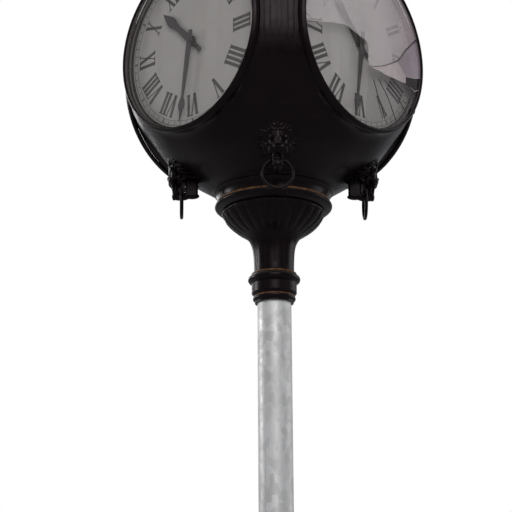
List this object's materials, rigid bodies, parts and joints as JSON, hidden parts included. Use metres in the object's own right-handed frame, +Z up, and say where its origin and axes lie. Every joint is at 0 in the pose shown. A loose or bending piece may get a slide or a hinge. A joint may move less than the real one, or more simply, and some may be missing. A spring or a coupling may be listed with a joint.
{
  "type": "street clock",
  "caption": "Free-standing street clock: round-cornered case with dials facing each way, lion-mask ring pulls, turned neck, tubular pole and cast pedestal.",
  "frame": {"origin": "centre of the base on the ground", "axes": "+Z up, dials face +X, -X, +Y and -Y"},
  "size_m": [0.8072, 0.8072, 4.342],
  "materials": {
    "black_paint": "gloss black paint on cast metal, with gold lines",
    "seal_rubber": "matt",
    "clear_glass": "clear",
    "opal_dial": "satin opal",
    "hand_paint": "satin black",
    "brass": "machined",
    "pole_metal": "satin galvanised",
    "motor_casing": "satin",
    "box_paint": "satin",
    "led_board": "matt white",
    "steel": "zinc plated"
  },
  "bodies": {
    "clock": {"base_casting": "black_paint", "foot_plate": "steel", "door_hinge_pins": "steel", "pole": "pole_metal", "pole_collar": "black_paint", "collar_setscrews": "steel", "neck_casting": "black_paint", "neck_bolts": "steel", "support_ring": "black_paint", "head_case": "black_paint", "dome_cap": "black_paint", "finial": "black_paint", "lion_masks": "black_paint", "dial_plates": "opal_dial", "dial_rings": "black_paint", "bezel_hinge_pins": "steel", "movement_frames": "steel", "movement_motors": "motor_casing", "movement_bushes": "brass", "centre_frame": "steel", "led_panels": "led_board", "control_box": "box_paint"},
    "access_door": {"base_door": "black_paint"},
    "door_lock": {"door_lock": "brass"},
    "ring_sw": {"lion_ring_sw": "black_paint"},
    "ring_se": {"lion_ring_se": "black_paint"},
    "ring_ne": {"lion_ring_ne": "black_paint"},
    "ring_nw": {"lion_ring_nw": "black_paint"},
    "bezel_door_s": {"bezel_s": "black_paint", "glazing_seal_s": "seal_rubber", "glass_s": "clear_glass"},
    "bezel_door_e": {"bezel_e": "black_paint", "glazing_seal_e": "seal_rubber", "glass_e": "clear_glass"},
    "bezel_door_n": {"bezel_n": "black_paint", "glazing_seal_n": "seal_rubber", "glass_n": "clear_glass"},
    "bezel_door_w": {"bezel_w": "black_paint", "glazing_seal_w": "seal_rubber", "glass_w": "clear_glass"},
    "minutes_s": {"minute_hand_s": "hand_paint", "minute_arbor_s": "steel"},
    "hours_s": {"hour_hand_s": "hand_paint", "hour_wheel_s": "brass"},
    "idler_s": {"idler_wheel_s": "brass"},
    "minutes_e": {"minute_hand_e": "hand_paint", "minute_arbor_e": "steel"},
    "hours_e": {"hour_hand_e": "hand_paint", "hour_wheel_e": "brass"},
    "idler_e": {"idler_wheel_e": "brass"},
    "minutes_n": {"minute_hand_n": "hand_paint", "minute_arbor_n": "steel"},
    "hours_n": {"hour_hand_n": "hand_paint", "hour_wheel_n": "brass"},
    "idler_n": {"idler_wheel_n": "brass"},
    "minutes_w": {"minute_hand_w": "hand_paint", "minute_arbor_w": "steel"},
    "hours_w": {"hour_hand_w": "hand_paint", "hour_wheel_w": "brass"},
    "idler_w": {"idler_wheel_w": "brass"}
  },
  "joints": [
    {"name": "access_door_hinge", "type": "hinge", "parent": "clock", "child": "access_door", "pos_m": [-0.06, -0.146, 0.42], "axis": [0, 0, -1], "range_deg": [0, 120]},
    {"name": "door_lock_turn", "type": "hinge", "parent": "access_door", "child": "door_lock", "pos_m": [0.038, -0.135, 0.42], "axis": [0, 1, 0], "range_deg": [0, 90]},
    {"name": "ring_sw_swing", "type": "hinge", "parent": "clock", "child": "ring_sw", "pos_m": [-0.21001, -0.21001, 3.137], "axis": [-0.7071, 0.7071, 0], "range_deg": [-40, 80]},
    {"name": "ring_se_swing", "type": "hinge", "parent": "clock", "child": "ring_se", "pos_m": [0.21001, -0.21001, 3.137], "axis": [-0.7071, -0.7071, 0], "range_deg": [-40, 80]},
    {"name": "ring_ne_swing", "type": "hinge", "parent": "clock", "child": "ring_ne", "pos_m": [0.21001, 0.21001, 3.137], "axis": [0.7071, -0.7071, 0], "range_deg": [-40, 80]},
    {"name": "ring_nw_swing", "type": "hinge", "parent": "clock", "child": "ring_nw", "pos_m": [-0.21001, 0.21001, 3.137], "axis": [0.7071, 0.7071, 0], "range_deg": [-40, 80]},
    {"name": "bezel_door_s_hinge", "type": "hinge", "parent": "clock", "child": "bezel_door_s", "pos_m": [0, -0.38665, 3.8494], "axis": [-1, 0, 0], "range_deg": [0, 90]},
    {"name": "bezel_door_e_hinge", "type": "hinge", "parent": "clock", "child": "bezel_door_e", "pos_m": [0.38665, 0, 3.8494], "axis": [0, -1, 0], "range_deg": [0, 90]},
    {"name": "bezel_door_n_hinge", "type": "hinge", "parent": "clock", "child": "bezel_door_n", "pos_m": [0, 0.38665, 3.8494], "axis": [1, 0, 0], "range_deg": [0, 90]},
    {"name": "bezel_door_w_hinge", "type": "hinge", "parent": "clock", "child": "bezel_door_w", "pos_m": [-0.38665, 0, 3.8494], "axis": [0, 1, 0], "range_deg": [0, 90]},
    {"name": "minute_s", "type": "hinge", "parent": "clock", "child": "minutes_s", "pos_m": [0, -0.386, 3.54], "axis": [0, 1, 0], "continuous": true},
    {"name": "hour_s", "type": "hinge", "parent": "clock", "child": "hours_s", "pos_m": [0, -0.376, 3.54], "axis": [0, 1, 0], "continuous": true},
    {"name": "idler_s_turn", "type": "hinge", "parent": "clock", "child": "idler_s", "pos_m": [0, -0.336, 3.5], "axis": [0, 1, 0], "continuous": true},
    {"name": "minute_e", "type": "hinge", "parent": "clock", "child": "minutes_e", "pos_m": [0.386, 0, 3.54], "axis": [-1, 0, 0], "continuous": true},
    {"name": "hour_e", "type": "hinge", "parent": "clock", "child": "hours_e", "pos_m": [0.376, 0, 3.54], "axis": [-1, 0, 0], "continuous": true},
    {"name": "idler_e_turn", "type": "hinge", "parent": "clock", "child": "idler_e", "pos_m": [0.336, 0, 3.5], "axis": [-1, 0, 0], "continuous": true},
    {"name": "minute_n", "type": "hinge", "parent": "clock", "child": "minutes_n", "pos_m": [0, 0.386, 3.54], "axis": [0, -1, 0], "continuous": true},
    {"name": "hour_n", "type": "hinge", "parent": "clock", "child": "hours_n", "pos_m": [0, 0.376, 3.54], "axis": [0, -1, 0], "continuous": true},
    {"name": "idler_n_turn", "type": "hinge", "parent": "clock", "child": "idler_n", "pos_m": [0, 0.336, 3.5], "axis": [0, -1, 0], "continuous": true},
    {"name": "minute_w", "type": "hinge", "parent": "clock", "child": "minutes_w", "pos_m": [-0.386, 0, 3.54], "axis": [1, 0, 0], "continuous": true},
    {"name": "hour_w", "type": "hinge", "parent": "clock", "child": "hours_w", "pos_m": [-0.376, 0, 3.54], "axis": [1, 0, 0], "continuous": true},
    {"name": "idler_w_turn", "type": "hinge", "parent": "clock", "child": "idler_w", "pos_m": [-0.336, 0, 3.5], "axis": [1, 0, 0], "continuous": true}
  ],
  "couplings": [
    {"joint": "hour_s", "follows": "minute_s", "ratio": 0.083333},
    {"joint": "idler_s_turn", "follows": "minute_s", "ratio": -0.33333},
    {"joint": "minute_e", "follows": "minute_s", "ratio": 1},
    {"joint": "hour_e", "follows": "minute_s", "ratio": 0.083333},
    {"joint": "idler_e_turn", "follows": "minute_s", "ratio": -0.33333},
    {"joint": "minute_n", "follows": "minute_s", "ratio": 1},
    {"joint": "hour_n", "follows": "minute_s", "ratio": 0.083333},
    {"joint": "idler_n_turn", "follows": "minute_s", "ratio": -0.33333},
    {"joint": "minute_w", "follows": "minute_s", "ratio": 1},
    {"joint": "hour_w", "follows": "minute_s", "ratio": 0.083333},
    {"joint": "idler_w_turn", "follows": "minute_s", "ratio": -0.33333}
  ]
}
